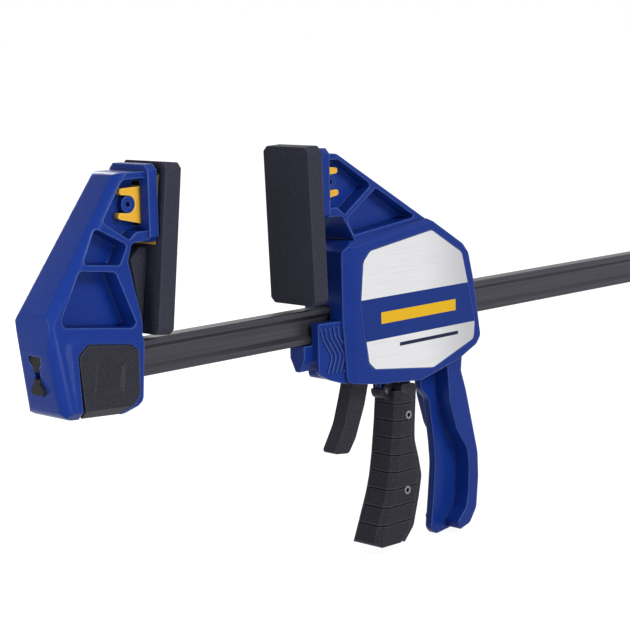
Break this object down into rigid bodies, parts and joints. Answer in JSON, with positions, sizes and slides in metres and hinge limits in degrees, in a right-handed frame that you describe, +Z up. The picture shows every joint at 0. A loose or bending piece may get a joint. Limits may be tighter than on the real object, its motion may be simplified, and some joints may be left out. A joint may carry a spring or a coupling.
{
  "type": "trigger bar clamp",
  "caption": "One-handed trigger bar clamp: steel I-section bar, fixed jaw with lock button, sliding jaw with trigger, release lever, handle and swivelling pads.",
  "frame": {"origin": "middle of the fixed jaw's clamping face, as its pad leans in the picture", "axes": "+X along the bar from the fixed jaw to its tail, +Z up the jaws away from the bar, Y across the pads"},
  "size_m": [0.5563, 0.0372, 0.2544],
  "materials": {
    "bar_steel": "dark oxide, rolled",
    "blue_nylon": "fine grained moulding, satin",
    "black_plastic": "grained moulding",
    "grip_black": "grained soft moulding",
    "pad_black": "grained, non-marking",
    "yellow_plastic": "smooth moulding",
    "plate_metal": "brushed, printed blue band",
    "pin_steel": "bright drawn",
    "lever_steel": "stamped, hardened",
    "spring_steel": "spring wire"
  },
  "bodies": {
    "frame": {"bar": "bar_steel", "fixed_jaw": "blue_nylon", "button_spring": "spring_steel"},
    "button": {"push_button": "black_plastic", "lock_pin": "pin_steel", "lock_pin_clip": "pin_steel"},
    "fixed_pad_body": {"fixed_pad": "pad_black", "fixed_pad_carrier": "yellow_plastic"},
    "moving_jaw_body": {"moving_jaw": "blue_nylon", "near_side_plate": "plate_metal", "far_side_plate": "plate_metal", "trigger_pin": "pin_steel", "drive_lever_pin": "pin_steel", "release_pin": "pin_steel", "brake_pin": "pin_steel", "drive_spring": "spring_steel", "brake_spring": "spring_steel"},
    "moving_pad_body": {"moving_pad": "pad_black", "moving_pad_carrier": "yellow_plastic"},
    "trigger_body": {"trigger": "black_plastic", "trigger_grip": "grip_black", "trigger_rivets": "pin_steel"},
    "drive_lever_body": {"drive_lever": "lever_steel"},
    "release_lever_body": {"release_lever": "black_plastic"},
    "brake_lever_body": {"brake_lever": "lever_steel"}
  },
  "joints": [
    {"name": "body_slide", "type": "slide", "parent": "frame", "child": "moving_jaw_body", "axis": [1, 0, 0], "range_m": [-0.092, 0.207]},
    {"name": "trigger_squeeze", "type": "hinge", "parent": "moving_jaw_body", "child": "trigger_body", "pos_m": [0.17773, 0, -0.10602], "axis": [0, -1, 0], "range_deg": [0, 14], "stiffness_Nm_per_rad": 2, "springref_deg": -5.73},
    {"name": "drive_lever_rock", "type": "hinge", "parent": "moving_jaw_body", "child": "drive_lever_body", "pos_m": [0.17703, 0, -0.07402], "axis": [0, 1, 0], "range_deg": [0, 14], "deforming": ["drive_spring"]},
    {"name": "release_pull", "type": "hinge", "parent": "moving_jaw_body", "child": "release_lever_body", "pos_m": [0.14903, 0, -0.07732], "axis": [0, -1, 0], "range_deg": [0, 14], "stiffness_Nm_per_rad": 1, "springref_deg": -5.73},
    {"name": "brake_lever_tilt", "type": "hinge", "parent": "moving_jaw_body", "child": "brake_lever_body", "pos_m": [0.16153, 0, -0.03902], "axis": [0, -1, 0], "range_deg": [0, 4], "deforming": ["brake_spring"]},
    {"name": "button_push", "type": "slide", "parent": "frame", "child": "button", "axis": [0, 1, 0], "range_m": [0, 0.0055], "stiffness_N_per_m": 800, "springref_m": -0.004, "deforming": ["button_spring"]},
    {"name": "fixed_pad_swivel", "type": "hinge", "parent": "frame", "child": "fixed_pad_body", "pos_m": [-0.02477, 0, 0.02548], "axis": [0, 1, 0], "range_deg": [-8, 0]},
    {"name": "moving_pad_swivel", "type": "hinge", "parent": "moving_jaw_body", "child": "moving_pad_body", "pos_m": [0.12753, 0, 0.02548], "axis": [0, 1, 0], "range_deg": [-3.9, 4.1]}
  ],
  "couplings": [
    {"joint": "drive_lever_rock", "follows": "trigger_squeeze", "ratio": 1},
    {"joint": "brake_lever_tilt", "follows": "release_pull", "ratio": 0.2857}
  ]
}
